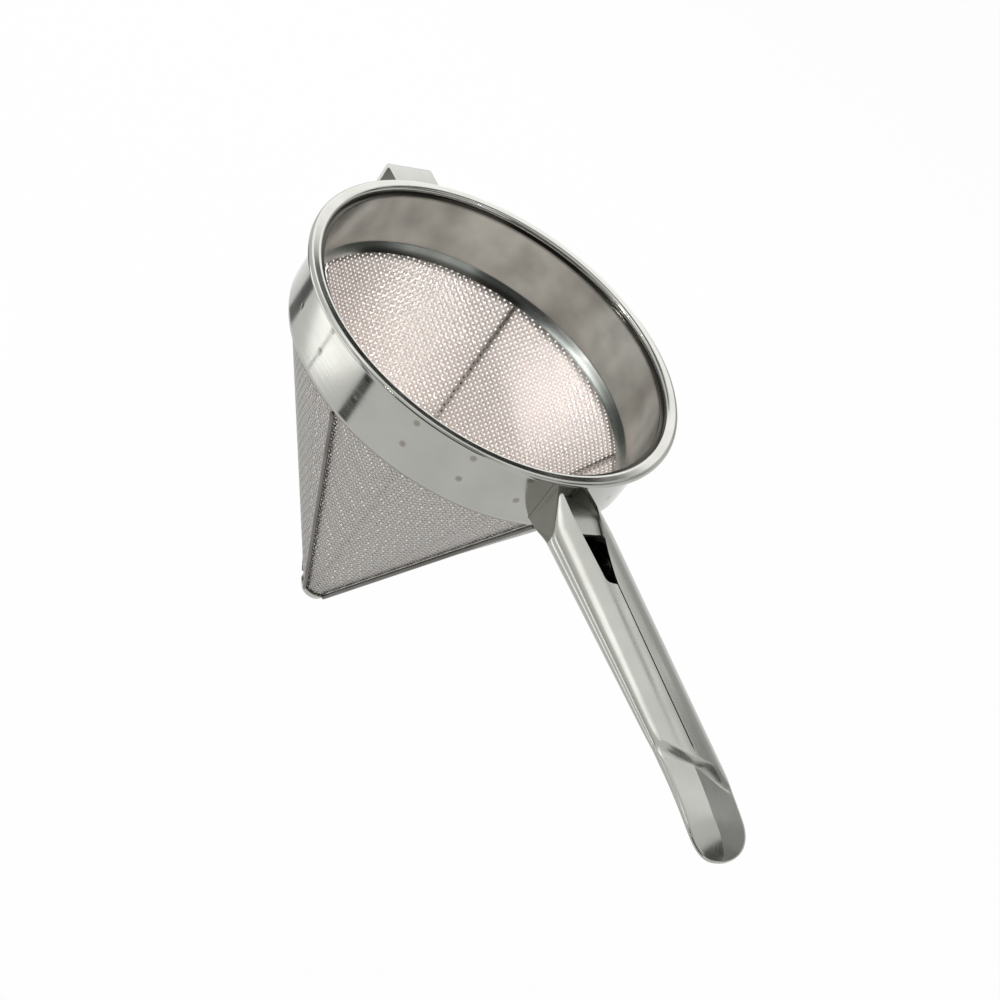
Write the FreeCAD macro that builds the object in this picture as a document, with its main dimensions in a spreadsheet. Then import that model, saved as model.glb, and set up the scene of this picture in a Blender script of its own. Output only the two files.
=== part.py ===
import FreeCAD, Part
import math
import os
import Sketcher

# Conical strainer (chinois): a steel collar with a turned lip, a woven cone clamped in it, five guard
# rods, a tip cap, a rolled sheet handle and a pot hook. Millimetres and degrees. The origin is the
# centre of the rim plane, +Z is up out of the mouth, the cone hangs along -Z and the handle is along +X.

V = FreeCAD.Vector
doc = FreeCAD.newDocument("chinois_strainer")

# Driving sizes. A depth is measured down from the rim plane.
SIZES = [
    ("band_dia", 191.0, "outside of the collar wall"),
    ("band_height", 37.0, "rim plane to the collar's foot"),
    ("band_sheet", 0.8, "collar sheet"),
    ("lip_width", 6.0, "lip beyond the collar wall"),
    ("lip_drop", 2.6, "height of the lip's turned-down edge"),
    ("lip_bend", 1.2, "inside radius where the wall turns into the lip"),
    ("lip_roll", 1.0, "inside radius of the lip's outer edge"),
    ("seat_gap", 0.1, "clearance between clamped and welded faces"),
    ("weld_count", 20, "spot welds round the collar"),
    ("weld_phase", 6.0, "angle of the first spot weld"),
    ("weld_upper", 8.6, "depth of the upper row of spot welds"),
    ("weld_lower", 22.3, "depth of the lower row"),
    ("weld_ball", 3.5, "radius of the electrode's tip"),
    ("weld_depth", 0.25, "depth of a spot weld's dimple"),
    ("mesh_thick", 1.2, "woven cloth, two wires thick"),
    ("bend_lift", 2.0, "the cone starts this far above the collar's foot"),
    ("hem_height", 23.0, "cloth clamped in the collar above the bend"),
    ("tip_depth", 203.0, "rim plane to the end of the cone"),
    ("tip_radius", 6.0, "radius of the cone's blunt end"),
    ("grid_count", 24, "openings round the cone in each row of the plain grid that stands for the weave"),
    ("grid_rows", 8, "rows of the grid"),
    ("grid_top", 46.0, "depth of the grid's upper edge"),
    ("grid_foot", 194.0, "depth of the grid's lower edge"),
    ("grid_open", 0.5, "share of the grid's pitch that is open, each way"),
    ("liner_sheet", 0.8, "clamping ring sheet"),
    ("liner_top", 3.2, "depth of the clamping ring's upper edge"),
    ("skirt_length", 6.5, "clamping ring's skirt along the cone"),
    ("rod_dia", 2.4, "guard rod"),
    ("rod_turn_1", 0.0, "angle of each guard rod from the handle"),
    ("rod_turn_2", 65.0, ""),
    ("rod_turn_3", 134.5, ""),
    ("rod_turn_4", 212.5, ""),
    ("rod_turn_5", 290.5, ""),
    ("cap_wall", 0.9, "tip cap sheet"),
    ("cap_height", 4.0, "tip cap above the cone's end"),
    ("cap_edge", 0.7, "rounding of the cap's foot"),
    ("hook_turn", 1.9, "hook off the line opposite the handle"),
    ("hook_width", 25.0, "pot hook strip"),
    ("hook_sheet", 1.5, "pot hook strip thickness"),
    ("hook_reach", 15.5, "hook beyond the lip"),
    ("hook_clear", 0.4, "hook below the lip's edge"),
    ("hook_leg", 24.0, "welded leg of the hook"),
    ("hook_drop", 20.0, "free leg of the hook"),
    ("hook_bend", 1.8, "inside radius of the hook's bends"),
    ("handle_length", 192.0, "collar wall to the handle's end"),
    ("handle_sheet", 1.2, "handle sheet"),
    ("neck_length", 27.0, "pinched root of the handle"),
    ("root_width", 14.0, "handle at the collar, between its pinched sides"),
    ("root_top", 3.4, "depth of the root's upper line"),
    ("root_lift", 4.5, "root's lower line above the collar's foot"),
    ("root_sink", 8.0, "tube drawn behind the collar wall before it is trimmed to it"),
    ("grip_width", 37.4, "handle past its root"),
    ("grip_top", 6.0, ""),
    ("grip_bottom", 25.0, ""),
    ("shoulder_width", 33.0, "handle where the tongue starts"),
    ("shoulder_top", 10.5, ""),
    ("shoulder_bottom", 21.8, ""),
    ("tongue_length", 46.0, "pressed end of the handle"),
    ("tongue_width", 32.0, ""),
    ("tongue_ridge", 12.0, "depth of the ridge at the shoulder"),
    ("ridge_side", 2.5, "ridge on the -Y side of the seam"),
    ("tongue_eave", 14.3, "depth of the two side edges at the shoulder"),
    ("tongue_edge", 3.9, "height of the side edges at the shoulder"),
    ("tongue_tip", 1.6, "the same at the tongue's end"),
    ("tongue_droop", 4.6, "fall of the tongue's underside"),
    ("tongue_round", 17.0, "length of the rounded end"),
    ("tongue_square", 2.3, "power of the rounded end's curve: 2 is an ellipse and more is squarer"),
    ("opening_length", 58.0, "open top of the handle, along it"),
    ("opening_left", 8.2, "widest part of the open top on the -Y side of the seam"),
    ("opening_left_end", 5.3, "the same at the opening's end"),
    ("opening_left_start", 5.0, "collar wall to the widest part"),
    ("opening_right", 11.0, "widest part of the open top on the +Y side of the seam"),
    ("opening_right_bend", 7.5, "the same where that edge bends"),
    ("opening_right_start", 12.0, "collar wall to the widest part"),
    ("opening_bend", 26.0, "collar wall to that bend"),
    ("seam_gap", 0.8, "seam along the top of the handle"),
    ("web_depth", 9.0, "depth of the web between the pinched sides"),
    ("web_length", 28.0, "collar wall to the web's end"),
]

sheet = doc.addObject("Spreadsheet::Sheet", "dims")
for row, (alias, number, note) in enumerate(SIZES, start=1):
    sheet.set(f"A{row}", note)
    sheet.set(f"B{row}", str(number))
    sheet.setAlias(f"B{row}", alias)
doc.recompute()


def size(alias):
    """A driving size, as a number."""
    return float(getattr(sheet, alias))


def worked_out(expression):
    """The number that an expression on the driving sizes gives now."""
    return float(sheet.evalExpression(expression))


# Expressions that several pieces share. The cone's wall leans by the angle whose tangent is SLOPE, and
# SECANT is one over that angle's cosine. PINCH is the slope of the handle's sides at its root.
BAND_R = "(dims.band_dia / 2)"
LIP_R = f"({BAND_R} + dims.lip_width)"
CLOTH_R = f"({BAND_R} - dims.band_sheet - dims.seat_gap)"
BEND = "(dims.band_height - dims.bend_lift)"
SLOPE = f"(({CLOTH_R} - dims.tip_radius) / (dims.tip_depth - {BEND}))"
SECANT = f"sqrt(1 + {SLOPE}^2)"
ROD_R = "(dims.rod_dia / 2)"
HANDLE_END = f"({BAND_R} + dims.handle_length)"
SHOULDER = f"({HANDLE_END} - dims.tongue_length)"
PINCH = "((dims.grip_width - dims.root_width) / 2 / dims.neck_length)"


def cone_radius(depth, outward="0"):
    """Radius at a depth of the surface that lies a normal distance outside the cone's outer face."""
    return f"({CLOTH_R} - ({depth} - {BEND}) * {SLOPE} + ({outward}) * {SECANT})"


def bend_depth(inward):
    """Depth where a collar wall, a distance inside the cloth's outer face, meets its own cone."""
    return f"({BEND} - ({inward}) * ({SECANT} - 1) / {SLOPE})"


def origin_part(body, role):
    """A body's own origin plane or axis."""
    return next(part for part in body.Origin.OriginFeatures if part.Role == role)


def new_body(name):
    """An empty body that is labelled for its piece."""
    body = doc.addObject("PartDesign::Body", name)
    body.Label = name
    return body


def polygon(body, plane, name, *outlines, offset=None):
    """Sketch of closed outlines whose corners are pairs of expressions, bound to the sheet."""
    sketch = body.newObject("Sketcher::SketchObject", name)
    sketch.AttachmentSupport = [(origin_part(body, plane), "")]
    sketch.MapMode = "FlatFace"
    if offset:
        sketch.setExpression(".AttachmentOffset.Base.z", offset)
    for corners in outlines:
        points = [V(worked_out(across), worked_out(up), 0) for across, up in corners]
        sides = [sketch.addGeometry(Part.LineSegment(start, end))
                 for start, end in zip(points, points[1:] + points[:1])]
        for side, following in zip(sides, sides[1:] + sides[:1]):
            sketch.addConstraint(Sketcher.Constraint("Coincident", side, 2, following, 1))
        for side, point, corner in zip(sides, points, corners):
            for kind, number, expression in zip(("DistanceX", "DistanceY"), point, corner):
                index = sketch.addConstraint(Sketcher.Constraint(kind, -1, 1, side, 1, number))
                sketch.setExpression(f"Constraints[{index}]", expression)
    return sketch


def spin(body, sketch):
    """Full turn of a sketch about the Z axis."""
    feature = body.newObject("PartDesign::Revolution", sketch.Name + "_turn")
    feature.Profile = sketch
    feature.ReferenceAxis = (origin_part(body, "Z_Axis"), [""])
    feature.Angle = 360.0
    doc.recompute()
    return feature


def fillet(body, name, radius, picked):
    """Round the edges of the body's tip that the test picks."""
    base = body.Tip
    edges = [f"Edge{i}" for i, edge in enumerate(base.Shape.Edges, start=1) if picked(edge)]
    feature = body.newObject("PartDesign::Fillet", name)
    feature.Base = (base, edges)
    feature.setExpression("Radius", radius)
    doc.recompute()
    return feature


def ring_at(radius, depth):
    """Test for the round edge about Z at a radius and a depth, both expressions."""
    want_radius, want_z = worked_out(radius), -worked_out(depth)

    def test(edge):
        curve = edge.Curve
        return (isinstance(curve, Part.Circle) and abs(curve.Radius - want_radius) < 1e-4
                and abs(curve.Center.z - want_z) < 1e-4)
    return test


def straight_at(axis, first, second):
    """Test for the edge along an axis (0 X, 1 Y, 2 Z) whose other two coordinates are the expressions."""
    want = [worked_out(first), worked_out(second)]

    def test(edge):
        ends = [vertex.Point for vertex in edge.Vertexes]
        others = [i for i in range(3) if i != axis]
        misses = [abs(end[i] - number) for end in ends for i, number in zip(others, want)]
        return len(ends) == 2 and max(misses) < 1e-4
    return test


# Collar: one rolled strip with its upper edge turned out into the lip, and dimples of the spot welds
def make_collar_band():
    body = new_body("collar_band")
    inner = f"({BAND_R} - dims.band_sheet)"
    lip_inner = f"({LIP_R} - dims.band_sheet)"
    profile = polygon(body, "XZ_Plane", "collar_profile", [
        (inner, "-dims.band_height"),
        (BAND_R, "-dims.band_height"),
        (BAND_R, "-dims.band_sheet"),
        (lip_inner, "-dims.band_sheet"),
        (lip_inner, "-dims.lip_drop"),
        (LIP_R, "-dims.lip_drop"),
        (LIP_R, "0"),
        (inner, "0"),
    ])
    spin(body, profile)
    fillet(body, "lip_top_inside", "dims.lip_bend + dims.band_sheet", ring_at(inner, "0"))
    fillet(body, "lip_top_outside", "dims.lip_roll + dims.band_sheet", ring_at(LIP_R, "0"))
    fillet(body, "lip_under_inside", "dims.lip_bend", ring_at(BAND_R, "dims.band_sheet"))
    fillet(body, "lip_under_outside", "dims.lip_roll", ring_at(lip_inner, "dims.band_sheet"))
    reach = f"({BAND_R} + dims.weld_ball - dims.weld_depth)"
    dimples = []
    for name in ("weld_upper", "weld_lower"):
        ball = body.newObject("PartDesign::SubtractiveSphere", name + "_dimple")
        ball.setExpression("Radius", "dims.weld_ball")
        ball.setExpression(".AttachmentOffset.Base.x", f"{reach} * cos(dims.weld_phase)")
        ball.setExpression(".AttachmentOffset.Base.y", f"{reach} * sin(dims.weld_phase)")
        ball.setExpression(".AttachmentOffset.Base.z", f"-dims.{name}")
        ball.AttachmentSupport = [(origin_part(body, "XY_Plane"), "")]
        ball.MapMode = "FlatFace"
        doc.recompute()
        dimples.append(ball)
    pattern = body.newObject("PartDesign::PolarPattern", "weld_pattern")
    pattern.Originals = dimples
    pattern.Axis = (origin_part(body, "Z_Axis"), [""])
    pattern.Angle = 360.0
    pattern.setExpression("Occurrences", "dims.weld_count")
    body.Tip = pattern
    doc.recompute()
    return body


# Woven cone: a shell of the cloth's outside, with its hem clamped in the collar and a plain grid of openings
# for the weave, far coarser than the cloth's own
def make_mesh_cone():
    body = new_body("mesh_cone")
    thick = "dims.mesh_thick"
    inner = f"({CLOTH_R} - {thick})"
    hem_top = f"({BEND} - dims.hem_height)"
    floor = f"(dims.tip_depth - {thick})"
    profile = polygon(body, "XZ_Plane", "cone_profile", [
        (CLOTH_R, f"-{hem_top}"),
        (inner, f"-{hem_top}"),
        (inner, f"-{bend_depth(thick)}"),
        (cone_radius(floor, f"-{thick}"), f"-{floor}"),
        ("0", f"-{floor}"),
        ("0", "-dims.tip_depth"),
        ("dims.tip_radius", "-dims.tip_depth"),
        (CLOTH_R, f"-{BEND}"),
    ])
    spin(body, profile)
    row_pitch = "((dims.grid_foot - dims.grid_top) / dims.grid_rows)"

    def window(row):
        top = f"(dims.grid_top + ({row} + (1 - dims.grid_open) / 2) * {row_pitch})"
        foot = f"({top} + dims.grid_open * {row_pitch})"
        return [(cone_radius(depth, outward), f"-{depth}") for depth, outward in (
            (top, thick), (top, f"-2 * {thick}"), (foot, f"-2 * {thick}"), (foot, thick))]
    rows = range(int(size("grid_rows")))
    column = polygon(body, "XZ_Plane", "grid_column", *[window(row) for row in rows])
    cut = body.newObject("PartDesign::Groove", "grid_openings")
    cut.Profile = column
    cut.ReferenceAxis = (origin_part(body, "Z_Axis"), [""])
    cut.setExpression("Angle", "360 / dims.grid_count * dims.grid_open")
    cut.Midplane = True
    doc.recompute()
    pattern = body.newObject("PartDesign::PolarPattern", "grid_pattern")
    pattern.Originals = [cut]
    pattern.Axis = (origin_part(body, "Z_Axis"), [""])
    pattern.Angle = 360.0
    pattern.setExpression("Occurrences", "dims.grid_count")
    body.Tip = pattern
    doc.recompute()
    return body


# Clamping ring inside the cloth, its upper edge turned out to the collar, with a skirt that follows the cone
def make_collar_liner():
    body = new_body("collar_liner")
    outer_in = "(dims.mesh_thick + dims.seat_gap)"
    inner_in = f"({outer_in} + dims.liner_sheet)"
    along = f"(dims.skirt_length / {SECANT})"

    def wall(inward):
        return f"({CLOTH_R} - {inward})"

    def skirt_end(inward):
        return (f"{wall(inward)} - {along} * {SLOPE}", f"-({bend_depth(inward)} + {along})")
    profile = polygon(body, "XZ_Plane", "liner_profile", [
        (wall(outer_in), "-(dims.liner_top + dims.liner_sheet)"),
        (CLOTH_R, "-(dims.liner_top + dims.liner_sheet)"),
        (CLOTH_R, "-dims.liner_top"),
        (wall(inner_in), "-dims.liner_top"),
        (wall(inner_in), f"-{bend_depth(inner_in)}"),
        skirt_end(inner_in),
        skirt_end(outer_in),
        (wall(outer_in), f"-{bend_depth(outer_in)}"),
    ])
    spin(body, profile)
    return body


# Small pressed cup that closes the cone's end and takes the guard rods' feet
def make_tip_cap():
    body = new_body("tip_cap")
    inside, outside = "dims.seat_gap", "(dims.seat_gap + dims.cap_wall)"
    top = "(dims.tip_depth - dims.cap_height)"
    floor_top = "(dims.tip_depth + dims.seat_gap)"
    floor_foot = f"({floor_top} + dims.cap_wall)"
    profile = polygon(body, "XZ_Plane", "cap_profile", [
        ("0", f"-{floor_foot}"),
        (cone_radius(floor_foot, outside), f"-{floor_foot}"),
        (cone_radius(top, outside), f"-{top}"),
        (cone_radius(top, inside), f"-{top}"),
        (cone_radius(floor_top, inside), f"-{floor_top}"),
        ("0", f"-{floor_top}"),
    ])
    spin(body, profile)
    fillet(body, "cap_foot", "dims.cap_edge", ring_at(cone_radius(floor_foot, outside), floor_foot))
    return body


# Guard rod: round wire along the outside of the cone, from the collar's foot to the tip cap
def make_guard_rod(number):
    turn = f"dims.rod_turn_{number}"
    tilt = f"({ROD_R} * {SLOPE} / {SECANT})"
    upper = f"(dims.band_height + dims.seat_gap + {tilt})"
    lower = f"(dims.tip_depth - dims.cap_height - dims.seat_gap - {tilt})"
    foot = cone_radius(lower, f"{ROD_R} + dims.seat_gap")
    rod = doc.addObject("Part::Cylinder", f"guard_rod_{number}")
    rod.Label = rod.Name
    rod.setExpression("Radius", ROD_R)
    rod.setExpression("Height", f"({lower} - {upper}) * {SECANT}")
    start = f"vector({foot} * cos({turn}); {foot} * sin({turn}); -{lower})"
    lean = f"rotation(vector(-sin({turn}); cos({turn}); 0); atan({SLOPE}))"
    rod.setExpression("Placement", f"placement({start}; {lean})")
    return rod


# Pot hook: a bent strip welded to the collar under the lip, opposite the handle
def make_pot_hook():
    body = new_body("pot_hook")
    top = "(dims.lip_drop + dims.hook_clear)"
    under = f"({top} + dims.hook_sheet)"
    weld_face = f"({BAND_R} + dims.seat_gap)"
    leg_face = f"({weld_face} + dims.hook_sheet)"
    sunk = f"({BAND_R} - dims.hook_sheet)"
    end_out = f"({LIP_R} + dims.hook_reach)"
    end_in = f"({end_out} - dims.hook_sheet)"
    profile = polygon(body, "XZ_Plane", "hook_profile", [
        (f"-{sunk}", f"-{top}"),
        (f"-{end_out}", f"-{top}"),
        (f"-{end_out}", f"-({top} + dims.hook_drop)"),
        (f"-{end_in}", f"-({top} + dims.hook_drop)"),
        (f"-{end_in}", f"-{under}"),
        (f"-{leg_face}", f"-{under}"),
        (f"-{leg_face}", f"-({top} + dims.hook_leg)"),
        (f"-{sunk}", f"-({top} + dims.hook_leg)"),
    ])
    pad = body.newObject("PartDesign::Pad", "hook_strip")
    pad.Profile = profile
    pad.setExpression("Length", "dims.hook_width")
    pad.Midplane = True
    doc.recompute()
    outer_corner = straight_at(1, f"-{end_out}", f"-{top}")
    fillet(body, "hook_outer_bend", "dims.hook_bend + dims.hook_sheet", outer_corner)
    fillet(body, "hook_inner_bend", "dims.hook_bend", straight_at(1, f"-{end_in}", f"-{under}"))
    fillet(body, "hook_root_bend", "dims.hook_bend", straight_at(1, f"-{leg_face}", f"-{under}"))
    collar = body.newObject("PartDesign::SubtractiveCylinder", "hook_seat")
    collar.setExpression("Radius", weld_face)
    collar.setExpression("Height", "dims.band_height * 2")
    collar.AttachmentSupport = [(origin_part(body, "XY_Plane"), "")]
    collar.MapMode = "FlatFace"
    collar.setExpression(".AttachmentOffset.Base.z", "-dims.band_height * 1.5")
    body.setExpression("Placement", "placement(vector(0; 0; 0); rotation(vector(0; 0; 1); dims.hook_turn))")
    doc.recompute()
    return body


def oval(x, width, top, bottom):
    """Oval in the plane across the handle at x, between two depths."""
    flat, tall = width / 2, (bottom - top) / 2
    middle = -(top + bottom) / 2
    point_count = 24
    points = []
    for i in range(point_count):
        angle = 2 * math.pi * i / point_count
        points.append(V(x, flat * math.cos(angle), middle + tall * math.sin(angle)))
    curve = Part.BSplineCurve()
    curve.interpolate(points, PeriodicFlag=True)
    return Part.Wire([curve.toShape()])


def handle_tube(name, inset, back, front):
    """Loft of the handle's rolled tube, its wall moved in by inset, from behind the collar wall to front."""
    root = (size("grip_width"), size("root_top"), size("band_height") - size("root_lift"))
    grip = (size("grip_width"), size("grip_top"), size("grip_bottom"))
    end = (size("shoulder_width"), size("shoulder_top"), size("shoulder_bottom"))
    collar, neck = worked_out(BAND_R), size("neck_length")

    def section(x, first, last, share):
        width, top, bottom = [a + (b - a) * share for a, b in zip(first, last)]
        return oval(x, width - 2 * inset, top + inset, bottom - inset)
    sections = [section(collar - back, root, grip, 0)]
    neck_count = 6
    for i in range(neck_count + 1):
        share = i / neck_count
        sections.append(section(collar + neck * share, root, grip, share * share * (3 - 2 * share)))
    sections.append(section(front, grip, end, 1))
    # neither a sketch nor a primitive gives the oval tube, so its shape is a loft in code
    tube = doc.addObject("Part::Feature", name)
    tube.Shape = Part.makeLoft(sections, True, True)
    return tube


def pinched(name, tube, inset):
    """The tube cut to the upright sides of its root, which are moved in by inset, an expression."""
    body = new_body(name + "_sides")
    start = f"(dims.root_width / 2 - ({inset}) * sqrt(1 + {PINCH}^2))"
    clear = f"({start} + 1.2 * dims.neck_length * {PINCH})"
    behind, past = f"({BAND_R} - 2 * dims.root_sink)", f"({BAND_R} + 1.2 * dims.neck_length)"
    side = [(behind, start), (BAND_R, start), (past, clear), (past, "dims.grip_width"),
            (HANDLE_END, "dims.grip_width")]
    other_side = [(along, f"-{across}") for along, across in reversed(side)]
    outline = polygon(body, "XY_Plane", name + "_outline", side + other_side, offset="-2 * dims.band_height")
    pad = body.newObject("PartDesign::Pad", name + "_block")
    pad.Profile = outline
    pad.setExpression("Length", "2 * dims.band_height")
    doc.recompute()
    return boolean("Part::MultiCommon", name, tube, body)


def handle_tongue(name, inset, back, front):
    """Loft of the handle's pressed end: a ridge over a flat underside, drooping to a thin rounded end."""
    end, length, rounding = worked_out(HANDLE_END), size("tongue_length"), size("tongue_round")
    power, ridge_y = size("tongue_square"), -size("ridge_side")
    half_width, crest = size("tongue_width") / 2, size("tongue_eave") - size("tongue_ridge")
    fall = crest / (half_width + ridge_y)
    thick = inset * math.sqrt(1 + fall * fall)

    def section(x):
        share = (x - (end - length)) / length
        edge = size("tongue_edge") + (size("tongue_tip") - size("tongue_edge")) * share
        foot = size("tongue_eave") + size("tongue_edge") + size("tongue_droop") * share * share - inset
        eave = foot + inset - edge
        turned = max(0.0, 0.97 * (x - (end - rounding)) / rounding)
        ridge = eave - crest * (1 - turned * turned) + thick
        side = half_width * (1 - turned ** power) ** (1 / power) - inset
        if inset:
            left, right = [min(side, (foot - ridge) / fall + shift) for shift in (-ridge_y, ridge_y)]
            corners = [(ridge_y, ridge), (right, foot), (-left, foot)]
        else:
            corners = [(ridge_y, ridge), (side, eave), (side, foot), (-side, foot), (-side, eave)]
        points = [V(x, y, -depth) for y, depth in corners]
        return Part.makePolygon(points + points[:1])
    start = end - length - back
    bend = end - rounding
    stations = [start + (bend - start) * i / 4 for i in range(4)]
    stations += [bend + (front - bend) * math.sin(math.pi * i / 16) for i in range(9)]
    # drawn in code for the same reason as the tube
    tongue = doc.addObject("Part::Feature", name)
    tongue.Shape = Part.makeLoft([section(x) for x in stations], True, True)
    return tongue


def boolean(kind, name, *pieces):
    """Part boolean of two or more pieces."""
    result = doc.addObject(kind, name)
    if kind == "Part::Cut":
        result.Base, result.Tool = pieces
    else:
        result.Shapes = list(pieces)
    doc.recompute()
    return result


# Handle: sheet rolled into an oval tube with its seam on top, pinched and open near the collar, with a web
# between the pinched sides, and pressed to a tongue at its end
def make_handle():
    sheet_thick = size("handle_sheet")
    shoulder = worked_out(SHOULDER)
    end = worked_out(HANDLE_END)
    sink, hollow_end = size("root_sink"), end - size("tongue_round") / 2
    outside = pinched("handle_outside", handle_tube("tube_outside", 0.0, sink, shoulder), "0")
    hollow_tube = handle_tube("tube_hollow", sheet_thick, sink + 2 * sheet_thick, shoulder - sheet_thick)
    hollow = pinched("handle_hollow", hollow_tube, "dims.handle_sheet")
    tongue = handle_tongue("tongue_outside", 0.0, 2 * sheet_thick, end)
    tongue_hollow = handle_tongue("tongue_hollow", sheet_thick, 3 * sheet_thick, hollow_end)

    collar = doc.addObject("Part::Cylinder", "handle_seat")
    collar.setExpression("Radius", f"{BAND_R} + dims.seat_gap")
    collar.setExpression("Height", "dims.band_height * 2")
    collar.setExpression("Placement", "placement(vector(0; 0; -dims.band_height * 1.5); "
                                      "rotation(vector(0; 0; 1); 0))")

    slot = new_body("handle_slot")
    half_seam = "(dims.seam_gap / 2)"
    opening_end = f"({BAND_R} + dims.opening_length)"
    root_inside = f"(dims.root_width / 2 - dims.handle_sheet * sqrt(1 + {PINCH}^2))"
    outline = polygon(slot, "XY_Plane", "slot_outline", [
        (f"{BAND_R} * 0.9", f"-{root_inside}"),
        (BAND_R, f"-{root_inside}"),
        (f"{BAND_R} + dims.opening_left_start", "-dims.opening_left"),
        (opening_end, "-dims.opening_left_end"),
        (opening_end, f"-{half_seam}"),
        (SHOULDER, f"-{half_seam}"),
        (SHOULDER, half_seam),
        (opening_end, half_seam),
        (f"{BAND_R} + dims.opening_bend", "dims.opening_right_bend"),
        (f"{BAND_R} + dims.opening_right_start", "dims.opening_right"),
        (BAND_R, root_inside),
        (f"{BAND_R} * 0.9", root_inside),
    ], offset="-(dims.grip_top + dims.grip_bottom) / 2")
    pad = slot.newObject("PartDesign::Pad", "slot_block")
    pad.Profile = outline
    pad.setExpression("Length", "dims.grip_bottom")
    doc.recompute()

    web_block = doc.addObject("Part::Box", "web_block")
    web_block.setExpression("Length", "dims.web_length + dims.root_sink")
    web_block.setExpression("Width", "dims.grip_width")
    web_block.setExpression("Height", "dims.handle_sheet")
    web_foot = "-(dims.web_depth + dims.handle_sheet)"
    web_corner = f"vector({BAND_R} - dims.root_sink; -dims.grip_width / 2; {web_foot})"
    web_block.setExpression("Placement", f"placement({web_corner}; rotation(vector(0; 0; 1); 0))")
    web = boolean("Part::MultiCommon", "handle_web", outside, web_block)

    skin = boolean("Part::MultiFuse", "handle_skin", outside, tongue)
    inside = boolean("Part::MultiFuse", "handle_inside", hollow, tongue_hollow)
    shell = boolean("Part::Cut", "handle_shell", skin, inside)
    opened = boolean("Part::Cut", "handle_opened", shell, slot)
    joined = boolean("Part::MultiFuse", "handle_joined", opened, web)
    handle = boolean("Part::Cut", "handle", joined, collar)
    handle.Label = "handle"
    return handle


pieces = [make_collar_band(), make_collar_liner(), make_mesh_cone(), make_tip_cap()]
pieces += [make_guard_rod(number) for number in range(1, 6)]
pieces += [make_handle(), make_pot_hook()]
doc.recompute()

for thing in doc.Objects:
    if "Invalid" in thing.State or "Error" in thing.State:
        raise RuntimeError(f"{thing.Name} failed to compute: {thing.State}")
for piece in pieces:
    if piece.Shape.isNull() or not piece.Shape.isValid() or len(piece.Shape.Solids) != 1:
        raise RuntimeError(f"{piece.Label} is not one valid solid")

os.makedirs("parts", exist_ok=True)
for piece in pieces:
    piece.Shape.exportStep(f"parts/{piece.Label}.step")
    box = piece.Shape.BoundBox
    print(f"{piece.Label}: volume {piece.Shape.Volume:.0f} mm3, X {box.XMin:.1f} to {box.XMax:.1f}, "
          f"Y {box.YMin:.1f} to {box.YMax:.1f}, Z {box.ZMin:.1f} to {box.ZMax:.1f}")
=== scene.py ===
"""Looks of a conical kitchen strainer: polished collar, woven wire cone, guard rods, handle and pot hook."""

import logging
import math
from dataclasses import dataclass, field
from enum import Enum
from typing import Any

import bmesh
import bpy
import numpy as np
from mathutils import Matrix, Vector


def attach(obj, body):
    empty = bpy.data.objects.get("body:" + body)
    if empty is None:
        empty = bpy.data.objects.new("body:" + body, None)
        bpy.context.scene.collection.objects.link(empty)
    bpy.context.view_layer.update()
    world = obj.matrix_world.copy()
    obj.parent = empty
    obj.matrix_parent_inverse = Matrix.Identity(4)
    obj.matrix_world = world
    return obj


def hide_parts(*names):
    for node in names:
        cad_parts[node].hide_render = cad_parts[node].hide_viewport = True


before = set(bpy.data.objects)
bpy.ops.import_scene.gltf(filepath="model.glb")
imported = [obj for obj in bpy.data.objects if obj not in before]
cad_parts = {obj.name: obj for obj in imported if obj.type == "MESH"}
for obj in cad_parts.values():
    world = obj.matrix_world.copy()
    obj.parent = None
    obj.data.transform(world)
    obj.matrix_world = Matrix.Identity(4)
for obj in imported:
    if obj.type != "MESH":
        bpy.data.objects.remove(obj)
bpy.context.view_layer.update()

Array = np.ndarray
Tree = bpy.types.NodeTree
Socket = bpy.types.NodeSocket
Material = bpy.types.Material
Object = bpy.types.Object
Pair = tuple[float, float]
Triple = tuple[float, float, float]

LOG = logging.getLogger("strainer")
MM = 0.001
WHITE = (1.0, 1.0, 1.0, 1.0)

# Sizes that several sub-assemblies share, in millimetres and degrees: the outside of the collar's band, the
# lean of the cone's wall from the axis, and the angles of the guard rods.
BAND_R = 95.5
LEAN_SIN = 0.4665
LEAN_COS = math.sqrt(1 - LEAN_SIN ** 2)
ROD_TURNS_DEG = (0.0, 65.0, 134.5, 212.5, 290.5)


class Slot(Enum):
    """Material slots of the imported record."""

    SHEET = "sheet_steel"
    WIRE = "wire_steel"
    CLOTH = "woven_steel"


# Finishes


def linear(hex_colour: str) -> tuple[float, float, float, float]:
    """Linear colour of an sRGB hex value.

    Args:
        hex_colour: six hex digits after a hash sign.

    Returns:
        Linear red, green and blue, with full alpha.
    """
    steps = np.array([int(hex_colour[i:i + 2], 16) for i in (1, 3, 5)]) / 255.0
    flat = np.where(steps <= 0.04045, steps / 12.92, ((steps + 0.055) / 1.055) ** 2.4)
    return (*(float(value) for value in flat), 1.0)


def add_node(tree: Tree, kind: str, inputs: dict[Any, Any] | None = None,
             **settings: Any) -> bpy.types.Node:
    """Add one node with its settings, values and links.

    Args:
        tree: the node tree that gets the node.
        kind: Blender's name of the node type, without its ShaderNode.
        inputs: socket name or number to a plain value, or to an output socket to link from.
        settings: attributes of the node itself.

    Returns:
        The new node.
    """
    node = tree.nodes.new("ShaderNode" + kind)
    for key, value in settings.items():
        setattr(node, key, value)
    for socket, value in (inputs or {}).items():
        if isinstance(value, Socket):
            tree.links.new(value, node.inputs[socket])
        else:
            node.inputs[socket].default_value = value
    return node


def blank_material(name: str) -> Material:
    """Add a node material without nodes.

    Args:
        name: the material's name.

    Returns:
        The new material.
    """
    material = bpy.data.materials.new(name)
    material.use_nodes = True
    material.node_tree.nodes.clear()
    return material


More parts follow.
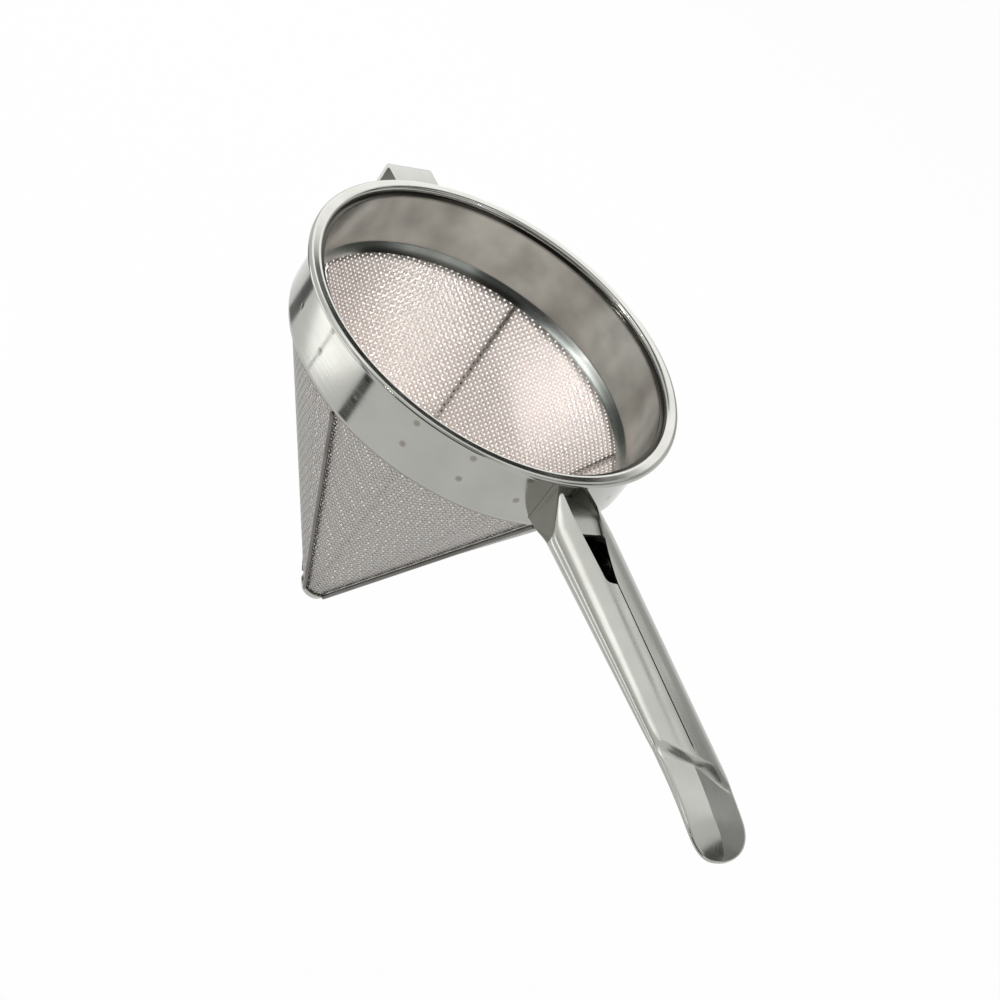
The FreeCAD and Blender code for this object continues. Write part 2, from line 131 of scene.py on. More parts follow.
def blend(tree: Tree, share: Socket, first: Any, last: Any) -> Socket:
    """Colour between two others.

    Args:
        tree: the node tree.
        share: 0 for the first colour and 1 for the last.
        first: a hex value, or an output socket.
        last: the same.

    Returns:
        The mixed colour: output 2 of a node that takes the share at input 0 and the colours at 6 and 7.
    """
    ends = [linear(end) if isinstance(end, str) else end for end in (first, last)]
    return add_node(tree, "Mix", {0: share, 6: ends[0], 7: ends[1]}, data_type="RGBA").outputs[2]


def grain(tree: Tree, size_mm: float, detail: float) -> Socket:
    """Cloudy noise on Object coordinates, with patches of about that size."""
    where = add_node(tree, "TexCoord").outputs["Object"]
    return add_node(tree, "TexNoise", {
        "Vector": where, "Scale": 1.0 / (size_mm * MM), "Detail": detail}).outputs["Fac"]


@dataclass(frozen=True)
class Finish:
    """Bare metal; each kind of it says how its colour and its roughness vary."""

    name: str

    def inputs(self, tree: Tree) -> dict[str, Any]:
        """Inputs of the metal's shader, by socket."""
        raise NotImplementedError

    def material(self) -> Material:
        """Build the finish as a node material.

        Returns:
            The new material.
        """
        material = blank_material(self.name)
        tree = material.node_tree
        shader = add_node(tree, "BsdfPrincipled", {"Metallic": 1.0, **self.inputs(tree)})
        add_node(tree, "OutputMaterial", {"Surface": shader.outputs[0]})
        return material


@dataclass(frozen=True)
class PolishedSheet(Finish):
    """Stainless sheet, pressed and polished: a soft mirror with fine lines along the polishing pass.

    The lines are real ones of about a tenth of a millimetre, drawn wider so that they show. Where the points
    carry the darkening mark, the steel takes its darker colour: real heat tint round a spot weld, and painted
    shade in a crevice, along the band's foot and on the clamping ring's skirt.
    """

    colour: str = "#B2B2AD"
    rubbed: str = "#A3A39D"
    smooth: float = 0.13
    dull: float = 0.24
    rough_range: Pair = (0.1, 0.45)
    line_mm: float = 0.9
    line_depth_mm: float = 0.06
    line_bump: float = 0.12
    along: Triple = (0.03, 0.03, 1.0)
    smudge_mm: float = 22.0
    scorched: str = "#88847B"

    def inputs(self, tree: Tree) -> dict[str, Any]:
        """Polishing lines stretched along the pass and soft smudges, both from noise on Object coordinates.

        Args:
            tree: the material's nodes.

        Returns:
            Colour, roughness and normal.
        """
        where = add_node(tree, "TexCoord").outputs["Object"]
        scale = tuple(share / (self.line_mm * MM) for share in self.along)
        stretched = add_node(tree, "Mapping", {"Vector": where, "Scale": scale})
        lines = add_node(tree, "TexNoise", {
            "Vector": stretched.outputs[0], "Scale": 1.0, "Detail": 3.0, "Roughness": 0.6}).outputs["Fac"]
        smudge = grain(tree, self.smudge_mm, 2.0)
        scorch = add_node(tree, "Attribute", attribute_name="scorch").outputs["Fac"]
        both = add_node(tree, "Math", {0: lines, 1: smudge}, operation="MULTIPLY")
        low, high = self.rough_range
        rough = add_node(tree, "MapRange", {
            "Value": both.outputs[0], "From Min": low, "From Max": high,
            "To Min": self.smooth, "To Max": self.dull})
        bump = add_node(tree, "Bump", {
            "Height": lines, "Strength": self.line_bump, "Distance": self.line_depth_mm * MM})
        clean = blend(tree, smudge, self.colour, self.rubbed)
        # The darker colour by the mark: real heat tint round the welds, and painted shade in crevices, at the
        # band's foot and on the ring's skirt.
        return {"Base Color": blend(tree, scorch, clean, self.scorched),
                "Roughness": rough.outputs[0], "Normal": bump.outputs[0]}


@dataclass(frozen=True)
class DrawnWire(Finish):
    """Bright-drawn stainless wire: a satin skin, a little darker where it was spot welded and heated."""

    colour: str
    heated: str
    roughness: float
    patch_mm: float
    patch_range: Pair = (0.35, 0.65)

    def inputs(self, tree: Tree) -> dict[str, Any]:
        """Patches of two tones from noise over an even satin sheen.

        Args:
            tree: the material's nodes.

        Returns:
            Colour and roughness.
        """
        low, high = self.patch_range
        share = add_node(tree, "MapRange", {
            "Value": grain(tree, self.patch_mm, 3.0), "From Min": low, "From Max": high})
        return {"Base Color": blend(tree, share.outputs[0], self.colour, self.heated),
                "Roughness": self.roughness}


@dataclass(frozen=True)
class WireCloth(Finish):
    """Woven stainless cloth, with light and shade painted into its colour: painted light inside, warm white,
    and painted shade outside, grey, and in the dips between the crowns, and brown painted shade along the
    rods.

    The points carry two marks: "rise" is -1 at an inner crown and 1 at an outer one, and the other is near 1
    on a line of painted shade where a guard rod behind the cloth blocks the light through it, and on a band
    of painted shadow under the clamping ring.
    """

    # Painted light and shade: the inner face lit warm white, the outer face shaded grey, and the dips between
    # crowns darker on both.
    inner_crown: str = "#F6ECE6"
    inner_dip: str = "#E4D7CF"
    outer_crown: str = "#B9B8B4"
    outer_dip: str = "#807F7B"
    # Colour of the painted shade along the rods behind the cloth and under the clamping ring.
    stain: str = "#564D40"
    roughness: float = 0.38
    dip_rise: float = 0.1
    crown_rise: float = 0.85

    def face(self, tree: Tree, rise: Socket, top: float, crown: str, dip: str) -> Socket:
        """Colour of one face of the cloth.

        Args:
            tree: the material's nodes.
            rise: the mark of height in the cloth.
            top: the mark's value at this face's crowns.
            crown: colour of the crowns.
            dip: colour of the dips between them.

        Returns:
            The face's colour, from dip to crown.
        """
        share = add_node(tree, "MapRange", {
            "Value": rise, "From Min": self.dip_rise * top, "From Max": self.crown_rise * top},
            interpolation_type="SMOOTHSTEP")
        return blend(tree, share.outputs[0], dip, crown)

    def inputs(self, tree: Tree) -> dict[str, Any]:
        """The two faces' painted light and shade by the mark of height, and the painted shade of the rods and
        the ring over the inner one.

        Args:
            tree: the material's nodes.

        Returns:
            Colour and roughness.
        """
        rise, stain = (add_node(tree, "Attribute", attribute_name=mark).outputs["Fac"]
                       for mark in ("rise", "stain"))
        inner = blend(tree, stain, self.face(tree, rise, -1.0, self.inner_crown, self.inner_dip), self.stain)
        outer = self.face(tree, rise, 1.0, self.outer_crown, self.outer_dip)
        side = add_node(tree, "MapRange", {
            "Value": rise, "From Min": -self.dip_rise, "From Max": self.dip_rise})
        return {"Base Color": blend(tree, side.outputs[0], inner, outer), "Roughness": self.roughness}


# Surfaces


@dataclass
class Skin:
    """Points in millimetres, four-sided faces and named marks on the points of one closed skin."""

    points: Array
    quads: Array
    marks: dict[str, Array] = field(default_factory=dict)

    def outward(self) -> "Skin":
        """The same skin with its faces turned outwards: the signed volume of its tetrahedra is positive.

        Returns:
            This skin, or one with its faces reversed.
        """
        a, b, c, d = (self.points[self.quads[:, i]] for i in range(4))
        volume = np.einsum("ij,ij->", a, np.cross(b, c)) + np.einsum("ij,ij->", a, np.cross(c, d))
        return self if volume > 0 else Skin(self.points, self.quads[:, ::-1], self.marks)

    def piece(self, name: str, material: Material, slot: Slot, *nodes: str,
              crease_deg: float = 36.0, weld: bool = False) -> Object:
        """Put the skin into a smooth-shaded object that stands for CAD nodes.

        Args:
            name: the piece's name.
            material: its finish.
            slot: the record's slot that the finish belongs to; not used.
            nodes: the CAD nodes that the piece replaces.
            crease_deg: edges that bend more than this stay sharp.
            weld: merge points that lie on each other, as at a pole.

        Returns:
            The new object, at the origin.
        """
        skin = self.outward()
        mesh = bpy.data.meshes.new(name)
        mesh.vertices.add(len(skin.points))
        mesh.vertices.foreach_set("co", (skin.points * MM).astype(np.float32).ravel())
        mesh.loops.add(skin.quads.size)
        mesh.loops.foreach_set("vertex_index", skin.quads.astype(np.int32).ravel())
        mesh.polygons.add(len(skin.quads))
        mesh.polygons.foreach_set("loop_start", np.arange(0, skin.quads.size, 4, dtype=np.int32))
        mesh.update(calc_edges=True)
        for mark, values in skin.marks.items():
            mesh.attributes.new(mark, "FLOAT", "POINT").data.foreach_set("value", values.astype(np.float32))
        if weld:
            loose = bmesh.new()
            loose.from_mesh(mesh)
            bmesh.ops.remove_doubles(loose, verts=loose.verts, dist=1e-7)
            bmesh.ops.dissolve_degenerate(loose, edges=loose.edges, dist=1e-8)
            loose.to_mesh(mesh)
            loose.free()
        mesh.polygons.foreach_set("use_smooth", np.ones(len(mesh.polygons), dtype=bool))
        mesh.set_sharp_from_angle(angle=math.radians(crease_deg))
        mesh.materials.append(material)
        piece = bpy.data.objects.new(name, mesh)
        bpy.context.collection.objects.link(piece)
        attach(piece, "root")
        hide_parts(*nodes)
        return piece


def grid_faces(rows: int, cols: int, wrap_rows: bool, wrap_cols: bool) -> Array:
    """Faces of a grid of points that is numbered row by row.

    Args:
        rows: rows of points.
        cols: points in a row.
        wrap_rows: join the last row to the first.
        wrap_cols: join the last point of a row to the first.

    Returns:
        Corner numbers, four for each face.
    """
    i, j = np.meshgrid(np.arange(rows if wrap_rows else rows - 1),
                       np.arange(cols if wrap_cols else cols - 1), indexing="ij")
    k, m = (i + 1) % rows, (j + 1) % cols
    return np.stack([i * cols + j, k * cols + j, k * cols + m, i * cols + m], axis=-1).reshape(-1, 4)


def rounded(corners: Array, steps: int = 5) -> Array:
    """Closed profile with each corner replaced by an arc.

    The arc touches both legs at radius / tan(half angle) from the corner, about a centre on the bisector,
    and its points swing evenly from one touching point to the other.

    Args:
        corners: rows of across, up and corner radius.
        steps: points on an arc.

    Returns:
        Rows of across and up.
    """
    spot, radius = corners[:, :2], corners[:, 2:]
    back = np.roll(spot, 1, axis=0) - spot
    ahead = np.roll(spot, -1, axis=0) - spot
    back /= np.linalg.norm(back, axis=1, keepdims=True)
    ahead /= np.linalg.norm(ahead, axis=1, keepdims=True)
    half = np.arccos(np.clip(np.sum(back * ahead, axis=1, keepdims=True), -1, 1)) / 2
    middle = back + ahead
    middle /= np.linalg.norm(middle, axis=1, keepdims=True)
    centre = spot + middle * radius / np.sin(half)
    first = spot + back * radius / np.tan(half) - centre
    last = spot + ahead * radius / np.tan(half) - centre
    swing = math.pi - 2 * half[:, :, None]
    share = np.linspace(0, 1, steps)[None, :, None]
    arc = np.sin((1 - share) * swing) * first[:, None] + np.sin(share * swing) * last[:, None]
    return (centre[:, None] + arc / np.sin(swing)).reshape(-1, 2)


def densified(path: Array, step: float) -> Array:
    """Closed profile with more points on its straight runs, found along its own length.

    Args:
        path: rows of across and up.
        step: spacing of the added points.

    Returns:
        The old points with the added ones among them.
    """
    loop = np.vstack([path, path[:1]])
    reach = np.concatenate([[0], np.cumsum(np.linalg.norm(np.diff(loop, axis=0), axis=1))])
    every = np.unique(np.concatenate([reach[:-1], np.arange(0, reach[-1], step)]))
    keep = np.concatenate([[True], np.diff(every) > 1e-4])
    return np.stack([np.interp(every[keep], reach, loop[:, i]) for i in range(2)], axis=1)


def turned(path: Array, angles: Array) -> Skin:
    """Profile carried round Z: a point at radius r and height z goes to (r cos t, r sin t, z).

    Args:
        path: closed profile, rows of radius and height.
        angles: angles of the copies, in radians, over one full turn.

    Returns:
        The closed skin.
    """
    radius, height = path[None, :, 0], path[None, :, 1]
    angle = angles[:, None]
    points = np.stack(np.broadcast_arrays(radius * np.cos(angle), radius * np.sin(angle), height), axis=-1)
    return Skin(points.reshape(-1, 3), grid_faces(len(angles), len(path), True, True))


def full_turn(count: int) -> Array:
    """Evenly spaced angles over one turn, in radians."""
    return np.linspace(0, 2 * math.pi, count, endpoint=False)


def polar(points: Array) -> tuple[Array, Array]:
    """Distance from Z and angle about it, in radians."""
    return np.hypot(points[..., 0], points[..., 1]), np.arctan2(points[..., 1], points[..., 0])


def swept_strip(loops: Array) -> Skin:
    """Sheet strip carried along a path, closed at both ends.

    Each row is a loop: out along one face of the sheet, and back along the other in reverse. An end is
    closed by faces between the two.

    Args:
        loops: rows, points in a loop, coordinates.

    Returns:
        The closed skin.
    """
    rows, count = loops.shape[:2]
    side = np.arange(count // 2 - 1)
    cap = np.stack([side, side + 1, count - 2 - side, count - 1 - side], axis=1)
    quads = np.vstack([grid_faces(rows, count, False, True), cap[:, ::-1], cap + (rows - 1) * count])
    return Skin(loops.reshape(-1, 3), quads)


def eased(share: Array) -> Array:
    """Smooth step from 0 to 1: three squares less two cubes of the clipped share."""
    share = np.clip(share, 0, 1)
    return share * share * (3 - 2 * share)


def broken_edges(piece: Object, width_mm: float) -> None:
    """Round a sheet's cut edges with a small bevel.

    Args:
        piece: the sheet.
        width_mm: the bevel's width.
    """
    bevel = piece.modifiers.new("cut_edges", "BEVEL")
    bevel.width = width_mm * MM
    bevel.segments = 2
    bevel.limit_method = "ANGLE"
    bevel.angle_limit = math.radians(50)


# Sub-assemblies


@dataclass
class Collar:
    """Rolled band with its turned lip and spot welds, and the clamping ring inside it."""

    height: float = 37.0
    sheet: float = 0.8
    lip: float = 6.0
    lip_drop: float = 2.6
    lip_bend: float = 1.2
    lip_roll: float = 1.0
    edge: float = 0.2
    weld_count: int = 20
    weld_phase_deg: float = 6.0
    weld_depths: Pair = (8.6, 22.3)
    weld_r: float = 1.7
    weld_sink: float = 0.05
    weld_scorch: float = 0.9
    weld_scorch_reach: float = 1.3
    band_step: float = 0.55
    band_segments: int = 180
    foot_curl: float = 0.7
    foot_bend: float = 2.2
    foot_round: float = 1.0
    # Painted shade along the band's foot edge: how far up it reaches, how soft its top is, and how dark it
    # is.
    foot_dull: float = 1.5
    foot_fade: float = 0.8
    foot_scorch: float = 0.85
    flange_r: float = 94.6
    flange_corners: Pair = (0.15, 0.2)
    liner_outer_r: float = 93.3
    liner_top: float = 3.2
    liner_bend: float = 34.7
    liner_rounds: Pair = (1.6, 2.4)
    liner_step: float = 2.0
    liner_segments: int = 256
    skirt: float = 6.5
    skirt_mitre: float = 0.25
    # Painted shade on the clamping ring's skirt, darkest towards the hook: where it lies round Z, and how
    # dark and how far it reaches.
    tarnish_at_deg: float = 165.0
    tarnish_half_deg: float = 33.0
    tarnish_fade_deg: float = 8.0
    tarnish_hook: Pair = (0.55, 0.35)
    tarnish_bend: float = 0.5
    tarnish_lead: float = 0.9
    tarnish_low: Pair = (1.5, 1.3)

    def band(self) -> Skin:
        """Band profile turned round Z, its foot curled in, with a shallow bowl pressed in at each weld.

        A bowl sinks by its depth times one less the squared distance over its squared radius, and the mark of
        its heat tint reaches a little past it. The foot's edge carries the mark too, as painted shade along
        its dark line.

        Returns:
            The closed skin.
        """
        inner, lip_r = BAND_R - self.sheet, BAND_R + self.lip
        foot, edge, curl = -self.height, self.edge, self.foot_curl
        bend = foot + self.foot_bend
        corners = np.array([
            (inner, bend, self.foot_round), (inner - curl, foot, edge), (BAND_R - curl, foot, edge),
            (BAND_R, bend, self.foot_round), (BAND_R, -self.sheet, self.lip_bend),
            (lip_r - self.sheet, -self.sheet, self.lip_roll),
            (lip_r - self.sheet, -self.lip_drop, edge), (lip_r, -self.lip_drop, edge),
            (lip_r, 0.0, self.lip_roll + self.sheet), (inner, 0.0, self.lip_bend + self.sheet)])
        # Even angles, and closer ones across each weld.
        pitch = 2 * math.pi / self.weld_count
        near = np.linspace(-1.2, 1.2, 11) * self.weld_r / BAND_R
        welds = math.radians(self.weld_phase_deg) + pitch * np.arange(self.weld_count)
        angles = np.unique(np.round(np.concatenate([
            full_turn(self.band_segments), ((welds[:, None] + near) % (2 * math.pi)).ravel()]), 6))
        skin = turned(densified(rounded(corners), self.band_step), angles)
        z = skin.points[:, 2]
        radius, turn = polar(skin.points)
        off = ((turn - welds[0] + pitch / 2) % pitch - pitch / 2) * BAND_R
        drop = z[:, None] + np.array(self.weld_depths)
        spread = (off[:, None] ** 2 + drop ** 2) / self.weld_r ** 2
        outside = radius > BAND_R - self.sheet / 2
        bowls = np.clip(1 - spread, 0, None).sum(axis=1)
        burns = np.clip(self.weld_scorch_reach - spread, 0, self.weld_scorch).sum(axis=1)
        sunk = np.where(outside, self.weld_sink * bowls, 0) / radius
        # Painted shade at the foot's edge, held in the variable named dull, shares one mark with the welds'
        # heat tint.
        dull = self.foot_scorch * eased((self.foot_dull - self.height - z) / self.foot_fade)
        skin.points[:, :2] *= (1 - sunk)[:, None]
        skin.marks["scorch"] = np.maximum(np.where(outside, burns, 0), dull)
        return skin

    def liner(self) -> Skin:
        """Clamping ring turned round Z: a flange to the band, a wall, and a skirt that leans with the cone.

        The darkening mark paints shade over the flange, in its recess under the lip. It also paints shade on
        the
        skirt: over all of it towards the hook, and elsewhere only along its bend.

        Returns:
            The closed skin.
        """
        outer, inner = self.liner_outer_r, self.liner_outer_r - self.sheet
        bend_in = self.liner_bend - self.sheet * self.skirt_mitre
        toward = np.array([-LEAN_SIN, -LEAN_COS]) * self.skirt
        top, under = -self.liner_top, -self.liner_top - self.sheet
        (corner_in, corner_out), (round_in, round_out) = self.flange_corners, self.liner_rounds
        path = rounded(np.array([
            (self.flange_r, top, self.edge), (inner, top, corner_in),
            (inner, -bend_in, round_in), (*(np.array([inner, -bend_in]) + toward), self.edge),
            (*(np.array([outer, -self.liner_bend]) + toward), self.edge),
            (outer, -self.liner_bend, round_out), (outer, under, corner_out),
            (self.flange_r, under, self.edge)]), 6)
        skin = turned(densified(path, self.liner_step), full_turn(self.liner_segments))
        z = skin.points[:, 2]
        # Painted shade: the flange in its recess under the lip, and the skirt, darker towards the hook and
        # along its bend.
        flange = eased((z + self.liner_top + self.sheet) / self.sheet)
        off = np.abs((np.degrees(polar(skin.points)[1]) - self.tarnish_at_deg + 180.0) % 360.0 - 180.0)
        hook_side = eased((self.tarnish_half_deg - off) / self.tarnish_fade_deg + 0.5)
        below = -self.liner_bend - z
        low_fade, low_start = self.tarnish_low
        skirt, low = eased(below + self.tarnish_lead), eased(below / low_fade - low_start)
        whole, lower = self.tarnish_hook
        skin.marks["scorch"] = flange + skirt * (
            hook_side * (whole + lower * low) + (1 - hook_side) * self.tarnish_bend * (1 - low))
        return skin

    def build(self) -> list[Object]:
        """Make and dress the band and the clamping ring.

        Returns:
            The two pieces.
        """
        polished = PolishedSheet("stainless_sheet_polished_round_the_collar", smooth=0.09,
                                 dull=0.18).material()
        # The ring's darker colour is painted shade on its flange and skirt.
        ring = PolishedSheet("stainless_sheet_satin_clamping_ring", colour="#E2E7E2", rubbed="#828681",
                             smooth=0.16, dull=0.28, scorched="#3F3C36").material()
        return [self.band().piece("collar_band_skin", polished, Slot.SHEET, "collar_band"),
                self.liner().piece("collar_liner_skin", ring, Slot.SHEET, "collar_liner")]


@dataclass
class WovenCone:
    """Plain-woven wire cloth rolled into a cone, with its hem in the collar."""

    top_r: float = 93.92
    apex_depth: float = 213.09
    end_r: float = 6.0
    pitch: float = 2.5
    wire_half_width: float = 0.75
    wire_half_height: float = 0.16
    sides: int = 8
    # Painted shade on the cloth's inside: a line along each guard rod behind it, where the rod blocks the
    # light through the weave, and a band under the clamping ring's edge.
    solder: float = 0.95
    solder_half_width: float = 2.1
    solder_fade: tuple[tuple[float, ...], tuple[float, ...]] = ((50.0, 70.0, 88.0), (0.25, 0.6, 1.0))
    crevice: float = 0.75
    crevice_r: float = 88.6
    crevice_fade: float = 1.6
    seam_deg: float = 212.5
    seam_gap: float = 0.004
    weave_deg: float = 8.5
    hem_r: Pair = (93.42, 94.58)
    hem_depths: Pair = (12.0, 35.2)
    hem_rounds: Pair = (0.4, 0.3)
    hem_segments: int = 192

    def rolled(self, flat: Array) -> Array:
        """Roll the flat cloth into the cone.

        A flat point at distance d from the sector's apex and angle a goes to radius d sin(lean), angle
        a / sin(lean) from the seam, and moves out along the wall's normal by its height.

        Args:
            flat: across, along and height in the flat cloth.

        Returns:
            Points on the cone.
        """
        reach, spread = polar(flat)
        turn = spread / LEAN_SIN + math.radians(self.seam_deg)
        radius = reach * LEAN_SIN + flat[..., 2] * LEAN_COS
        height = reach * LEAN_COS - self.apex_depth - flat[..., 2] * LEAN_SIN
        return np.stack([radius * np.cos(turn), radius * np.sin(turn), height], axis=-1)

    def wires(self, weft: bool, upper: bool) -> Skin:
        """Half of the warp or weft wires, cut to the flat sector of the cone.

        A wire runs straight in the flat cloth and its height is a cosine of two pitches that changes sign
        from wire to wire, so that warp and weft pass over each other in turn. Its section is an ellipse.

        Args:
            weft: the wires across, instead of those along.
            upper: the half of them with higher numbers.

        Returns:
            The closed skins of all those wires.
        """
        far, near = self.top_r / LEAN_SIN, self.end_r / LEAN_SIN
        span = 2 * math.pi * LEAN_SIN
        count = int(far / self.pitch) + 2
        number, step = np.meshgrid(np.arange(-count, count + 1), np.arange(-2 * count, 2 * count + 1),
                                   indexing="ij")
        along, across = step * self.pitch / 2, number * self.pitch
        sign = -1.0 if weft else 1.0
        height = sign * self.wire_half_height * np.cos(math.pi * (along / self.pitch + number))
        angle = math.radians(self.weave_deg + (90 if weft else 0))
        run = np.array([math.cos(angle), math.sin(angle)])
        wide = np.array([-run[1], run[0]]) * sign
        flat = along[..., None] * run + across[..., None] * wide
        reach, turn = polar(flat)
        keep = (reach > near) & (reach < far) & (turn > self.seam_gap) & (turn < span - self.seam_gap)
        middle = np.median(number[keep])
        keep &= number > middle if upper else number <= middle
        joined = keep[:, :-1] & keep[:, 1:]
        keep[:, 1:-1] &= joined[:, 1:] | joined[:, :-1]
        label = np.cumsum(keep.ravel()).reshape(keep.shape) - 1
        round_angle = full_turn(self.sides)
        ring = np.zeros((*keep.shape, self.sides, 3))[keep]
        aside = (self.wire_half_width * np.cos(round_angle))[:, None] * wide
        ring[..., :2] = flat[keep][:, None] + aside
        ring[..., 2] = height[keep][:, None] + self.wire_half_height * np.sin(round_angle)
        here, there = label[:, :-1][joined] * self.sides, label[:, 1:][joined] * self.sides
        spot = np.arange(self.sides)
        after = (spot + 1) % self.sides
        walls = np.stack([here[:, None] + spot, there[:, None] + spot,
                          there[:, None] + after, here[:, None] + after], axis=-1).reshape(-1, 4)
        starts = keep.copy()
        starts[:, 1:] &= ~keep[:, :-1]
        ends = keep.copy()
        ends[:, :-1] &= ~keep[:, 1:]
        cap = np.array([[0, i, i + 1, i + 2] for i in range(1, self.sides - 1, 2)])
        first = (label[starts] * self.sides)[:, None, None] + cap
        last = (label[ends] * self.sides)[:, None, None] + cap[:, ::-1]
        quads = np.vstack([walls, first.reshape(-1, 4), last.reshape(-1, 4)])
        points = self.rolled(ring).reshape(-1, 3)
        rise = ring[..., 2].ravel() / (2 * self.wire_half_height)
        return Skin(points, quads, {"rise": rise, "stain": self.stain(points)})

    def stain(self, points: Array) -> Array:
        """Mark of painted shade on the cloth: along each guard rod behind it, and under the clamping ring.

        A rod's line of painted shade is a bell over the arc from the nearest rod, and fades towards the tip.

        Args:
            points: points on the cone.

        Returns:
            The mark at each point, 0 to 1.
        """
        radius, turn = polar(points)
        off = (np.degrees(turn)[:, None] - np.array(ROD_TURNS_DEG) + 180) % 360 - 180
        arc = np.abs(np.radians(off)).min(axis=1) * radius
        fade = np.interp(radius, *self.solder_fade)
        # Painted shadow under the clamping ring's edge, and painted shade along the rods.
        ring = self.crevice * eased((radius - self.crevice_r) / self.crevice_fade)
        return np.maximum(ring, self.solder * fade * np.exp(-(arc / self.solder_half_width) ** 2))

    def hem(self) -> Skin:
        """Folded edge of the cloth between the band and the clamping ring, turned round Z.

        Returns:
            The closed skin.
        """
        (inner, outer), (top, foot), (round_top, round_foot) = self.hem_r, self.hem_depths, self.hem_rounds
        path = rounded(np.array([(outer, -top, round_top), (inner, -top, round_top),
                                 (inner, -foot, round_foot), (outer, -foot, round_foot)]), 4)
        return turned(path, full_turn(self.hem_segments))

    def build(self) -> list[Object]:
        """Make and dress the four parts of the weave and the hem.

        Returns:
            The five pieces.
        """
        cloth = WireCloth("stainless_wire_cloth_woven").material()
        folded = DrawnWire("stainless_wire_cloth_folded_hem", "#C9BFB7", "#B5A89E", 0.4, 9.0).material()
        pieces = [self.wires(weft, upper).piece(
            f"mesh_{'weft' if weft else 'warp'}_{2 if upper else 1}", cloth, Slot.CLOTH, "mesh_cone",
            crease_deg=80.0) for weft in (False, True) for upper in (False, True)]
        pieces.append(self.hem().piece("mesh_hem", folded, Slot.CLOTH, "mesh_cone"))
        return pieces


@dataclass
class Guard:
    """Five rods along the outside of the cone and the cap on its tip."""

    rod_r: float = 1.2
    rod_rings: int = 24
    rod_sides: int = 20
    rod_clear: float = 4.0
    end_lead: tuple[float, ...] = (0.0, 0.0, 0.06, 0.2, 0.45)
    end_share: tuple[float, ...] = (0.0, 0.55, 0.83, 0.96, 1.0)
    gap: float = 0.1
    cloth_r: float = 94.6
    bend_depth: float = 35.0
    tip_r: float = 6.0
    tip_depth: float = 203.0
    rod_depths: Pair = (37.66, 198.34)
    cap_height: float = 4.0
    cap_wall: float = 0.9
    cap_rounds: Triple = (0.8, 0.25, 0.4)
    cap_segments: int = 64

    def wall_r(self, depth: float, out: float) -> float:
        """Radius at a depth of the surface that lies a normal distance outside the cone."""
        slope = (self.cloth_r - self.tip_r) / (self.tip_depth - self.bend_depth)
        return self.cloth_r - (depth - self.bend_depth) * slope + out / LEAN_COS

    def rod(self, turn_deg: float) -> Skin:
        """Round rod between two points: rings about its line, whose radius grows to full over a rounded end.

        Args:
            turn_deg: the rod's angle about Z.

        Returns:
            The closed skin.
        """
        turn = math.radians(turn_deg)
        out = np.array([math.cos(turn), math.sin(turn), 0.0])
        ends = [out * self.wall_r(depth, self.rod_r + self.gap) - np.array([0, 0, depth])
                for depth in self.rod_depths]
        line = ends[1] - ends[0]
        length = float(np.linalg.norm(line))
        line /= length
        side = np.array([-out[1], out[0], 0.0])
        face = np.cross(side, line)
        lead, end = np.array(self.end_lead), np.array(self.end_share) * self.rod_r
        reach = np.concatenate([lead, np.linspace(self.rod_clear, length - self.rod_clear, self.rod_rings),
                                length - lead[::-1]])
        radius = np.concatenate([end, np.full(self.rod_rings, self.rod_r), end[::-1]])
        spin = full_turn(self.rod_sides)
        ring = np.cos(spin)[:, None] * side + np.sin(spin)[:, None] * face
        points = ends[0] + reach[:, None, None] * line + radius[:, None, None] * ring
        return Skin(points.reshape(-1, 3), grid_faces(len(reach), len(spin), False, True))

    def cap(self) -> Skin:
        """Pressed cup turned round Z: a floor under the cone's end and a wall that follows the cone.

        Returns:
            The closed skin.
        """
        wall = self.gap + self.cap_wall
        top, floor = self.tip_depth - self.cap_height, self.tip_depth + self.gap
        foot = floor + self.cap_wall
        outside, rim, inside = self.cap_rounds
        path = rounded(np.array([
            (0.0, -foot, 0.0), (self.wall_r(foot, wall), -foot, outside), (self.wall_r(top, wall), -top, rim),
            (self.wall_r(top, self.gap), -top, rim), (self.wall_r(floor, self.gap), -floor, inside),
            (0.0, -floor, 0.0)]), 6)
        return turned(path, full_turn(self.cap_segments))

    def build(self) -> list[Object]:
        """Make and dress the rods and the tip cap.

        Returns:
            The six pieces.
        """
        wire = DrawnWire("stainless_rod_drawn_satin", "#747370", "#62605B", 0.24, 30.0).material()
        pressed = PolishedSheet("stainless_sheet_pressed_tip_cap", along=(1.0, 1.0, 1.0)).material()
        pieces = [self.rod(turn).piece(f"guard_rod_{number}_skin", wire, Slot.WIRE, f"guard_rod_{number}",
                                       weld=True)
                  for number, turn in enumerate(ROD_TURNS_DEG, start=1)]
        pieces.append(self.cap().piece("tip_cap_skin", pressed, Slot.SHEET, "tip_cap", weld=True))
        return pieces


